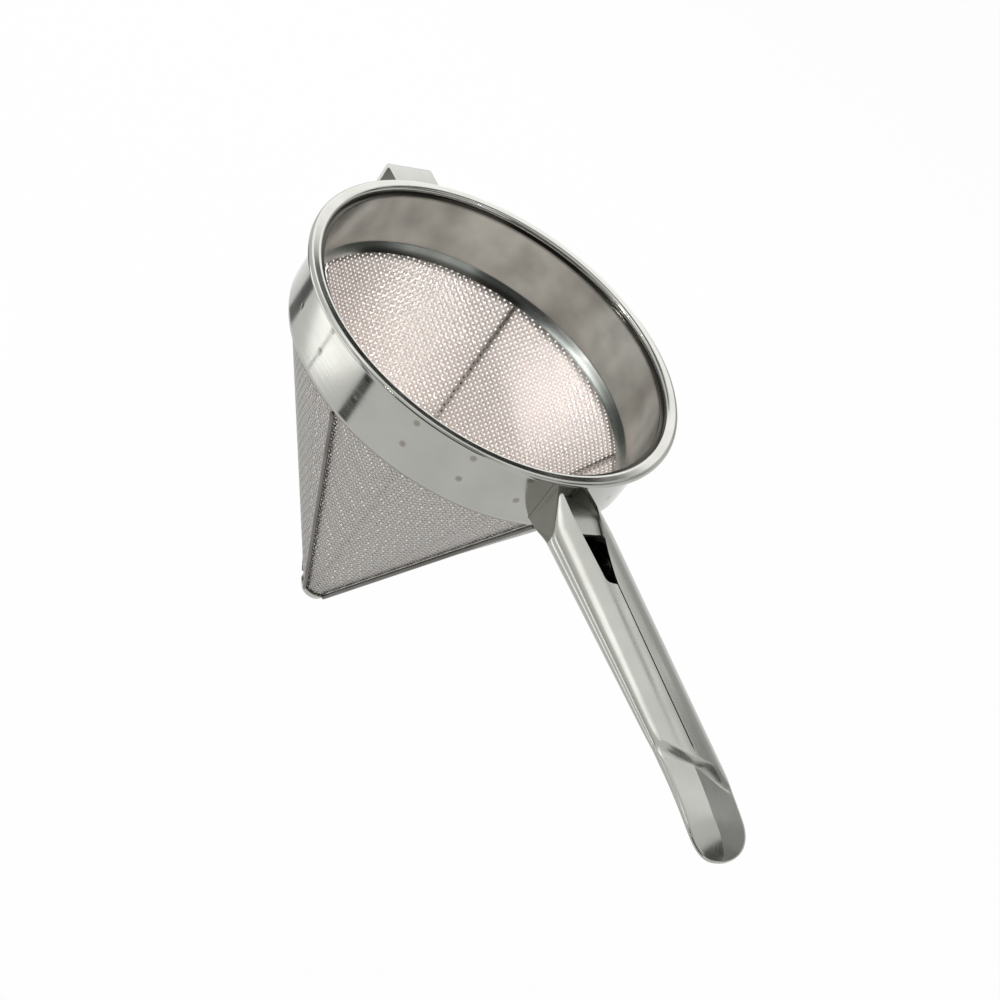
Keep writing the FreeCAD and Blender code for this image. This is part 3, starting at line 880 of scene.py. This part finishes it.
@dataclass
class Handle:
    """Sheet rolled into an oval tube with its seam on top, pinched at the root and pressed to a tongue."""

    collar_r: float = 95.65
    sheet: float = 1.2
    neck_end: float = 122.5
    shoulder: float = 241.5
    end: float = 287.5
    root_half_width: float = 7.0
    root_fit: float = 16.0
    crease: float = 0.45
    root: Triple = (37.4, 3.4, 32.5)
    grip: Triple = (37.4, 6.0, 25.0)
    grip_past: float = 1.2
    shoulder_oval: Triple = (33.0, 10.5, 21.8)
    open_left: tuple[Pair, ...] = (
        (BAND_R, 5.7), (100.5, 8.2), (150.0, 5.5), (151.6, 5.0), (152.6, 4.0), (153.2, 2.4), (153.6, 0.35))
    open_right: tuple[Pair, ...] = (
        (BAND_R, 5.7), (107.5, 11.0), (121.5, 7.5), (127.0, 5.7), (134.0, 3.7), (142.0, 2.0), (148.5, 0.9),
        (153.5, 0.35))
    seam_half: float = 0.35
    seam_stops: tuple[float, ...] = (-8.0, -5.0, -4.0, 2.0)
    press_at: float = 245.5
    press_slant: float = 0.55
    press_length: float = 5.0
    press_spread: float = 9.0
    tongue_half_width: float = 16.0
    tongue_ridge: float = 12.0
    ridge_y: float = -2.5
    tongue_eave: float = 14.3
    tongue_edges: Pair = (3.9, 1.6)
    tongue_droop: float = 4.6
    tongue_round: float = 17.0
    tongue_square: float = 2.3
    tongue_square_left: float = 2.8
    tongue_soft: float = 1.3
    tongue_soft_share: float = 0.35
    tongue_insets: tuple[float, ...] = (1.0, 0.3, 0.0, 0.0, 0.3, 1.0)
    tongue_drops: tuple[float, ...] = (0.05, 0.3, 0.3, 0.07)
    tongue_core: float = 0.6
    tongue_core_end: float = 6.0
    tongue_knots: tuple[float, ...] = (0.0, 0.43, 0.46, 0.48, 0.52, 0.54, 0.57, 1.0)
    tongue_between: tuple[float, ...] = (0.445, 0.47, 0.53, 0.555)
    tip_stop: float = 0.9985
    tip_skew: float = -1.6
    tip_curl: float = 0.7
    flare: float = 0.7
    flare_length: float = 0.9
    web_depths: Pair = (15.0, 9.0)
    web_dip: float = 20.0
    web_sink: float = 0.3
    web_end: float = 123.5
    web_rows: int = 24

    def stations(self) -> Array:
        """Distances along the handle of its sections, closer where the shape changes fast."""
        bend = self.end - self.tongue_round
        return np.concatenate([
            # The flare at the collar, the neck, the open top and its end.
            self.collar_r + np.array([0.0, 0.35, 0.8, 1.4, 2.2, 3.2]), np.arange(99.7, 126.0, 0.8),
            np.arange(127.0, 149.0, 2.0), np.arange(149.5, 156.0, 0.4),
            # The grip, the shoulder, the tongue and its rounded end.
            np.arange(158.0, self.press_at - 13.0, 5.0), self.press_at + np.arange(-12.5, 13.0, 0.5),
            np.linspace(self.press_at + 13.5, bend, 6)[:-1],
            bend + self.tongue_round * np.sin(np.linspace(0, math.pi / 2, 26))])

    def neck(self, x: Array) -> Array:
        """Share of the way along the neck, eased."""
        return eased((x - BAND_R) / (self.neck_end - BAND_R))

    def seam_edge(self, x: Array, opening: tuple[Pair, ...], ridge: float) -> Array:
        """Distance of one edge of the sheet from the middle of the handle's top.

        It follows the open top and the seam, shuts just before the shoulder, and then goes to the tongue's
        ridge.

        Args:
            x: distances along the handle.
            opening: distances along the open top and the edge's distance there.
            ridge: the edge's distance on the tongue.

        Returns:
            The edge's distance at each place.
        """
        stops = self.press_at + np.array(self.seam_stops)
        shut = zip(stops, (self.seam_half, 0.0, 0.0, ridge))
        return np.interp(x, *np.array([*opening, *shut]).T)

    def tube(self, x: Array, way: Array, inset: float) -> tuple[Array, Array]:
        """Oval tube from the right edge of the seam, round the underside, to its left edge.

        Top and bottom change smoothly along the neck, and all sizes evenly along the grip. The oval is half
        width times sine across, and half height times cosine up from its middle. At the root its sides are
        pressed flat: what lies past the pinch is drawn back to it, through a soft crease.

        Args:
            x: distances along the handle.
            way: shares of the way round, 0 to 1.
            inset: distance inside the outer face.

        Returns:
            Across and up, a row for each distance.
        """
        grip = np.clip((x - self.neck_end) / (self.shoulder - self.neck_end), 0, self.grip_past)[:, None]
        root, mid, last = (np.array(sizes) for sizes in (self.root, self.grip, self.shoulder_oval))
        sizes = root + (mid + (last - mid) * grip - root) * self.neck(x)[:, None]
        flare = self.flare * np.exp(-(x - self.collar_r) / self.flare_length)
        half = sizes[:, 0] / 2 - inset + flare
        tall = (sizes[:, 2] - sizes[:, 1]) / 2 - inset + flare
        left = self.seam_edge(x, self.open_left, -self.ridge_y)
        right = self.seam_edge(x, self.open_right, self.ridge_y)
        start = np.arcsin(np.clip(right / half, -1, 1))
        stop = 2 * math.pi - np.arcsin(np.clip(left / half, -1, 1))
        angle = start[:, None] + way[None, :] * (stop - start)[:, None]
        middle = -(sizes[:, 1] + sizes[:, 2])[:, None] / 2
        across = half[:, None] * np.sin(angle)
        past = (self.pinch(x, inset) + flare)[:, None] - np.abs(across)
        drawn = np.abs(across) + past - self.crease * np.logaddexp(0, past / self.crease)
        return np.sign(across) * drawn, middle + tall[:, None] * np.cos(angle)

    def pinch(self, x: Array, inset: float) -> Array:
        """Half width between the pressed sides of the root: it grows evenly until it clears the tube."""
        slope = (self.root[0] / 2 - self.root_half_width) / (self.neck_end - BAND_R)
        return self.root_half_width + slope * (x - BAND_R) - inset * math.sqrt(1 + slope ** 2)

    def web(self) -> Skin:
        """Plate between the pressed sides, which dips to the collar and is level farther out.

        Its half width is that between the pressed sides, or that of the tube's inside where it is less, and
        its edges sink a little into the sheet.

        Returns:
            The closed skin.
        """
        x = np.linspace(self.collar_r, self.web_end, self.web_rows)
        neck = self.neck(x)
        first, last = self.web_depths
        depth = first + (last - first) * eased((x - self.collar_r) / self.web_dip)
        top = self.root[1] + (self.grip[1] - self.root[1]) * neck + self.sheet
        low = self.root[2] + (self.grip[2] - self.root[2]) * neck - self.sheet
        level = (2 * depth - top - low) / (low - top)
        inside = (self.grip[0] / 2 - self.sheet) * np.sqrt(1 - level ** 2)
        half = np.minimum(inside, self.pinch(x, self.sheet)) + self.web_sink
        share = np.linspace(-1, 1, 9)
        loop = np.concatenate([share, share[::-1]])
        z = -depth[:, None] - np.repeat([0.0, self.sheet], len(share))
        y = half[:, None] * loop
        return swept_strip(np.stack(np.broadcast_arrays(x[:, None], y, z), axis=-1))

    def tongue(self, x: Array, way: Array) -> tuple[Array, Array]:
        """Pressed end: two roof faces that fall from a ridge to the eaves, over a flat underside.

        The underside droops with the square of the way along it, the side edges thin evenly to the end, and
        the half width shrinks as a rounded square's, more fully on the left. The ridge lies beside the seam,
        and the tip curls down and leans to the left with the cube of the way round it. The eaves and the
        lower edges are softened over a few knots of the way round.

        Args:
            x: distances along the handle.
            way: shares of the way round, 0 to 1, from the ridge.

        Returns:
            Across and up, a row for each distance.
        """
        share = np.clip((x - self.shoulder) / (self.end - self.shoulder), 0, 1)
        first, last = self.tongue_edges
        edge = first + (last - first) * share
        turned_in = np.clip((x - self.end + self.tongue_round) / self.tongue_round, 0, self.tip_stop)
        foot = self.tongue_eave + first + self.tongue_droop * share ** 2 + self.tip_curl * turned_in ** 3
        eave = foot - edge
        half = self.tongue_half_width * (1 - turned_in ** self.tongue_square) ** (1 / self.tongue_square)
        crest = (self.tongue_eave - self.tongue_ridge) * (1 - turned_in ** 2)
        soft = np.minimum(self.tongue_soft, self.tongue_soft_share * half)
        fall = crest / half
        middle = np.zeros((len(x), 1))
        across = np.hstack([middle, half[:, None] - np.array(self.tongue_insets) * soft[:, None], middle])
        crown, upper, lower, base = self.tongue_drops
        depth = np.stack([eave - crest, eave - fall * soft, eave + crown * edge, eave + upper * edge,
                          foot - lower * edge, foot - base * edge, foot, foot], axis=1)
        knots = np.array(self.tongue_knots)
        fold = 1 - np.abs(1 - 2 * way)
        seat = np.clip(np.searchsorted(knots, fold, side="right") - 1, 0, len(knots) - 2)
        part = (fold - knots[seat]) / (knots[seat + 1] - knots[seat])
        y = across[:, seat] * (1 - part) + across[:, seat + 1] * part
        z = depth[:, seat] * (1 - part) + depth[:, seat + 1] * part
        shift = self.ridge_y * (1 - turned_in[:, None]) * np.clip(1 - fold / knots[1], 0, 1)
        fuller = (1 - turned_in ** self.tongue_square_left) ** (1 / self.tongue_square_left)
        fuller *= self.tongue_half_width / half
        skew = self.tip_skew * turned_in[:, None] ** 3
        return y * np.where(way <= 0.5, 1.0, -fuller[:, None]) + shift + skew, -z

    def rolled_sheet(self) -> Skin:
        """The whole handle: the tube passes into the tongue over the shoulder, and its root fits the collar.

        Each section is a loop round the sheet's outer face and back along its inner face. The shoulder runs
        aslant, so that it comes later on the right of the seam than on its left, and is longer and softer to
        the sides.

        Returns:
            The closed skin.
        """
        x = self.stations()
        fold = np.unique(np.concatenate([np.linspace(0, 1, 65), self.tongue_knots, self.tongue_between]))
        way = np.unique(np.concatenate([fold / 2, 1 - fold / 2]))
        aside = self.tube(x, way, 0.0)[0]
        reach = self.press_length + self.press_spread * (aside / self.tongue_half_width) ** 2
        press = eased((x[:, None] - self.press_at - self.press_slant * aside) / reach + 0.5)
        hold = 1 - eased((x - self.collar_r) / self.root_fit)[:, None]
        flat_y, flat_z = self.tongue(x, way)
        core = flat_z.mean(axis=1, keepdims=True)
        ending = eased((x - self.end + self.tongue_core_end) / self.tongue_core_end)[:, None]
        faces = []
        for inset, keep in ((0.0, 1.0), (self.sheet, self.tongue_core * (1 - ending))):
            tube_y, tube_z = self.tube(x, way, inset)
            y = tube_y * (1 - press) + flat_y * keep * press
            z = tube_z * (1 - press) + (core + (flat_z - core) * keep) * press
            fit = np.sqrt(self.collar_r ** 2 - y ** 2) - self.collar_r
            faces.append(np.stack([x[:, None] + fit * hold, y, z], axis=-1))
        return swept_strip(np.concatenate([faces[0], faces[1][:, ::-1]], axis=1))

    def build(self) -> list[Object]:
        """Make and dress the rolled sheet and the plate between its pressed sides.

        Returns:
            The two pieces.
        """
        polished = PolishedSheet("stainless_sheet_polished_along_the_handle",
                                 along=(0.02, 1.0, 1.0)).material()
        pickled = PolishedSheet("stainless_sheet_pickled_web", colour="#C6C6C1", rubbed="#B4B4AE",
                                smooth=0.38, dull=0.48, along=(1.0, 1.0, 1.0)).material()
        return [self.rolled_sheet().piece("handle_skin", polished, Slot.SHEET, "handle"),
                self.web().piece("handle_web_skin", pickled, Slot.SHEET, "handle")]


@dataclass
class PotHook:
    """Bent strip opposite the handle, welded to the collar under the lip."""

    collar_r: float = 95.6
    sheet: float = 1.5
    half_width: float = 12.5
    top: float = 3.0
    reach_x: float = 117.0
    turn_deg: float = 1.9
    leg_foot: float = 27.0
    drop_foot: float = 23.0
    bend: float = 1.8
    bend_lead: float = 0.5
    hold_slack: float = 0.01

    def strip(self) -> Skin:
        """Strip section carried across the hook: up the welded leg, over the bridge and down the free leg.

        The welded leg is curved to sit on the collar, and the whole strip is turned a little about Z.

        Returns:
            The closed skin.
        """
        leg_in, leg_out = self.collar_r, self.collar_r + self.sheet
        under, outer = self.top + self.sheet, self.bend + self.sheet
        swing = np.linspace(0, math.pi / 2, 8)[:, None]
        quarter = np.hstack([np.cos(swing), np.sin(swing)])
        root = np.array([leg_out + self.bend, -under - self.bend])
        free = np.array([self.reach_x - outer, -self.top - outer])
        leg = np.linspace(self.leg_foot, under + self.bend + self.bend_lead, 8)[:, None]
        tail = np.linspace(self.top + outer + self.bend_lead, self.drop_foot, 6)[:, None]
        bow = np.array([-1.0, 1.0])
        top_face, low_face = (
            np.vstack([np.hstack([np.full_like(leg, leg_x), -leg]), root + quarter * bow * radius,
                       free + quarter[::-1] * radius, np.hstack([np.full_like(tail, tail_x), -tail])])
            for leg_x, radius, tail_x in ((leg_in, outer, self.reach_x),
                                          (leg_out, self.bend, self.reach_x - self.sheet)))
        loop = np.vstack([top_face, low_face[::-1]])
        across = np.linspace(-self.half_width, self.half_width, 9)
        hold = np.clip((leg_out + self.bend + self.hold_slack - loop[:, 0]) / outer, 0, 1)
        hold = np.where(loop[:, 0] <= leg_out + 1e-6, 1.0, hold)
        dip = np.sqrt(self.collar_r ** 2 - across ** 2) - self.collar_r
        x = loop[None, :, 0] + dip[:, None] * hold[None, :]
        turn = math.radians(self.turn_deg)
        y = across[:, None]
        loops = np.broadcast_arrays(-x * math.cos(turn) - y * math.sin(turn),
                                    y * math.cos(turn) - x * math.sin(turn), loop[None, :, 1])
        return swept_strip(np.stack(loops, axis=-1))

    def build(self) -> list[Object]:
        """Make and dress the strip.

        Returns:
            The one piece.
        """
        polished = PolishedSheet("stainless_strip_tumbled_pot_hook", colour="#A6A6A2", rubbed="#9A9A96",
                                 smooth=0.26, dull=0.36, along=(0.05, 1.0, 0.05)).material()
        hook = self.strip().piece("pot_hook_skin", polished, Slot.SHEET, "pot_hook")
        broken_edges(hook, 0.3)
        return [hook]


# Stage


@dataclass(frozen=True)
class PhotoCamera:
    """Camera of the photograph: it looks at the rim from above, turned about its own axis."""

    elevation_deg: float = 31.5217
    azimuth_deg: float = 45.0
    roll_deg: float = 35.5108
    distance_mm: float = 1000.0
    focal_px: float = 2076.42
    frame_px: float = 1000.0
    rim_px: Pair = (500.696, 324.814)

    def place(self) -> Object:
        """Set the camera so that the rim's centre falls on its pixel.

        The axes look straight at the rim's centre, are rolled, and then turned so that the centre leaves the
        middle of the frame.

        Returns:
            The camera.
        """
        rise, roll = math.radians(self.elevation_deg), math.radians(self.roll_deg)
        back = np.array([0.0, -math.cos(rise), math.sin(rise)])
        right = np.array([1.0, 0.0, 0.0])
        up = np.cross(back, right)
        eye = back * self.distance_mm * MM
        axes = np.stack([math.cos(roll) * right + math.sin(roll) * up,
                         -math.sin(roll) * right + math.cos(roll) * up, back])
        half = self.frame_px / 2
        goal = ((self.rim_px[0] - half) / self.focal_px, (half - self.rim_px[1]) / self.focal_px, -1.0)
        swing = Vector((0.0, 0.0, -1.0)).rotation_difference(Vector(goal)).to_matrix()
        axes = np.array(swing) @ axes
        around = np.array(Matrix.Rotation(math.radians(self.azimuth_deg), 3, "Z"))
        pose = Matrix.Identity(4)
        for i in range(3):
            pose.col[i].xyz = around @ axes[i]
        pose.translation = around @ eye
        data = bpy.data.cameras.new("photo_camera")
        data.sensor_width = 36.0
        data.lens = self.focal_px * data.sensor_width / self.frame_px
        camera = bpy.data.objects.new("photo_camera", data)
        camera.matrix_world = pose
        bpy.context.collection.objects.link(camera)
        bpy.context.scene.camera = camera
        return camera


def rectangle(name: str, wide: float, tall: float, z: float, material: Material) -> bpy.types.Mesh:
    """Flat rectangle about the Z axis, in metres.

    Args:
        name: the mesh's name.
        wide: size along X.
        tall: size along Y.
        z: height.
        material: its finish.

    Returns:
        The mesh.
    """
    x, y = wide / 2, tall / 2
    mesh = bpy.data.meshes.new(name)
    mesh.from_pydata([(-x, -y, z), (x, -y, z), (x, y, z), (-x, y, z)], [], [(0, 1, 2, 3)])
    mesh.materials.append(material)
    return mesh


@dataclass(frozen=True)
class Panel:
    """Lamp or card that faces the strainer from a direction, in degrees and metres."""

    name: str
    azimuth_deg: float
    elevation_deg: float
    distance: float
    size: Pair
    radiance: float

    def hang(self, data: bpy.types.ID) -> Object:
        """Hang an object for the data, aimed at the strainer and unseen by the camera.

        Args:
            data: a lamp or a mesh.

        Returns:
            The new object.
        """
        turn, rise = math.radians(self.azimuth_deg), math.radians(self.elevation_deg)
        toward = Vector((math.cos(rise) * math.cos(turn), math.cos(rise) * math.sin(turn), math.sin(rise)))
        panel = bpy.data.objects.new(self.name, data)
        panel.location = toward * self.distance
        panel.rotation_euler = toward.to_track_quat("Z", "Y").to_euler()
        panel.visible_camera = False
        bpy.context.collection.objects.link(panel)
        return panel


@dataclass(frozen=True)
class Softbox(Panel):
    """Area lamp."""

    def place(self) -> Object:
        """Hang the lamp with the power that gives the radiance: radiance times pi times area.

        Returns:
            The lamp.
        """
        data = bpy.data.lights.new(self.name, "AREA")
        data.shape = "RECTANGLE"
        data.size, data.size_y = self.size
        data.energy = self.radiance * math.pi * self.size[0] * self.size[1]
        return self.hang(data)


@dataclass(frozen=True)
class Snoot(Panel):
    """Narrow spot lamp for a patch of glare.

    Its size is its radius in metres and its beam in degrees, and its radiance is that of matt white in the
    beam.
    """

    target: Triple = (0.0, 0.0, 0.0)

    def place(self) -> Object:
        """Hang the lamp so that its beam falls on the target.

        Returns:
            The lamp.
        """
        data = bpy.data.lights.new(self.name, "SPOT")
        data.shadow_soft_size = self.size[0]
        data.spot_size = math.radians(self.size[1])
        data.spot_blend = 1.0
        data.energy = self.radiance * (2 * math.pi * self.distance) ** 2
        lamp = self.hang(data)
        lamp.location += Vector(self.target)
        return lamp


@dataclass(frozen=True)
class Flag(Panel):
    """Grey card, dark to pale: polished steel mirrors it as a streak, and it casts no shadow."""

    def place(self) -> Object:
        """Hang the card, an even grey that only gloss shows.

        Returns:
            The card.
        """
        material = blank_material(self.name + "_card")
        tree = material.node_tree
        grey = add_node(tree, "Emission", {"Color": WHITE, "Strength": self.radiance})
        add_node(tree, "OutputMaterial", {"Surface": grey.outputs[0]})
        card = self.hang(rectangle(self.name, *self.size, 0.0, material))
        card.visible_diffuse = False
        card.visible_shadow = False
        return card


@dataclass(frozen=True)
class Studio:
    """Pale floor, white surroundings, soft lamps, and dark cards for the streaks in the polished steel."""

    floor_z: float = -0.42
    floor_size: float = 12.0
    floor_glow: float = 0.94
    fill: float = 0.75
    panels: tuple[Panel, ...] = (
        Softbox("key_softbox", -143.0, 61.0, 3.0, (1.0, 1.0), 1.1),
        Softbox("top_softbox", 158.0, 64.0, 3.0, (3.2, 1.5), 0.35),
        Softbox("low_left_softbox", -120.0, -32.0, 0.75, (0.9, 0.32), 1.4),
        Softbox("lip_softbox", 150.0, 27.0, 1.3, (1.2, 1.0), 0.95),
        Softbox("glint_softbox", 88.0, 37.0, 1.18, (0.1, 0.1), 2.0),
        Softbox("skirt_softbox", -95.0, 19.0, 1.3, (1.3, 0.2), 1.7),
        Snoot("cloth_near_snoot", 12.0, 40.0, 1.2, (0.06, 3.0), 1.7, (-0.068, 0.020, -0.088)),
        Snoot("cloth_low_snoot", -75.0, 44.0, 1.2, (0.06, 2.8), 0.6, (-0.030, 0.056, -0.090)),
        Snoot("cloth_lip_snoot", -127.0, 40.0, 1.2, (0.06, 2.8), 0.7, (0.004, 0.074, -0.074)),
        Snoot("cloth_ring_snoot", -100.0, 27.0, 1.2, (0.06, 2.8), 1.2, (-0.020, 0.084, -0.048)),
        Flag("camera_side_flag", -56.0, 25.0, 1.6, (2.6, 1.3), 0.12),
        Flag("left_flag", -114.0, 27.5, 2.92, (1.0, 1.2), 0.7),
        Flag("right_flag", 113.0, 15.0, 2.92, (1.15, 1.0), 0.6),
        Flag("grip_flag", 127.3, 53.7, 2.92, (0.3, 0.3), 0.5),
        Flag("shoulder_flag", -3.0, 63.0, 1.5, (0.45, 1.0), 0.2),
        Flag("notch_flag", 45.4, 43.3, 1.3, (1.0, 0.34), 0.12),
        Flag("tongue_flag", 85.0, 32.0, 1.26, (0.85, 0.46), 0.45),
        Flag("tip_flag", 48.0, 28.5, 1.33, (0.65, 0.42), 0.35),
        Flag("lip_flag", 135.0, 46.0, 0.35, (0.28, 0.12), 0.03),
        Flag("collar_flag", -86.0, -33.0, 0.72, (0.085, 0.5), 0.08),
        Flag("collar_line_flag", -121.0, -33.0, 0.7, (0.02, 0.4), 0.9),
        Flag("collar_edge_flag", -163.0, -33.0, 0.72, (0.15, 0.4), 0.15),
    )

    def seen_directly(self, tree: Tree) -> Socket:
        """Mark of the rays that see a surface itself, instead of its light on matt surfaces.

        Args:
            tree: the node tree.

        Returns:
            1 for rays from the camera, from gloss and through glass, and 0 for the rest.
        """
        ray = add_node(tree, "LightPath").outputs
        pair = add_node(tree, "Math", {0: ray["Is Camera Ray"], 1: ray["Is Glossy Ray"]},
                        operation="MAXIMUM")
        return add_node(tree, "Math", {0: pair.outputs[0], 1: ray["Is Transmission Ray"]},
                        operation="MAXIMUM").outputs[0]

    def floor(self) -> Object:
        """Flat pale floor, mostly its own white so that it fades into the surroundings, and a soft shadow.

        Returns:
            The floor.
        """
        material = blank_material("painted_board_matt_white")
        tree = material.node_tree
        paint = add_node(tree, "BsdfDiffuse", {"Color": linear("#F4F4F2")})
        glow = add_node(tree, "Emission", {"Color": WHITE, "Strength": 1.0})
        share = add_node(tree, "Math", {0: self.seen_directly(tree), 1: self.floor_glow},
                         operation="MULTIPLY")
        mixed = add_node(tree, "MixShader", {
            0: share.outputs[0], 1: paint.outputs[0], 2: glow.outputs[0]})
        add_node(tree, "OutputMaterial", {"Surface": mixed.outputs[0]})
        mesh = rectangle("floor", self.floor_size, self.floor_size, self.floor_z, material)
        floor = bpy.data.objects.new("floor", mesh)
        bpy.context.collection.objects.link(floor)
        return floor

    def surroundings(self) -> None:
        """White world where it is seen directly, and weaker as light on matt surfaces."""
        world = bpy.data.worlds.new("white_room")
        world.use_nodes = True
        tree = world.node_tree
        tree.nodes.clear()
        strength = add_node(tree, "MapRange", {
            "Value": self.seen_directly(tree), "To Min": self.fill, "To Max": 1.0})
        white = add_node(tree, "Background", {"Color": WHITE, "Strength": strength.outputs[0]})
        add_node(tree, "OutputWorld", {"Surface": white.outputs[0]})
        bpy.context.scene.world = world

    def build(self) -> None:
        """Set the floor, the surroundings, the lamps and the cards."""
        self.floor()
        self.surroundings()
        for panel in self.panels:
            panel.place()


def main() -> None:
    """Build every sub-assembly in order and report each piece."""
    logging.basicConfig(level=logging.INFO, format="%(name)s: %(message)s")
    bpy.context.scene.view_settings.view_transform = "Standard"
    PhotoCamera().place()
    Studio().build()
    for part in (Collar(), WovenCone(), Guard(), Handle(), PotHook()):
        for piece in part.build():
            LOG.info("%s: %d faces, %s", piece.name, len(piece.data.polygons), piece.data.materials[0].name)


if __name__ == "__main__":
    main()
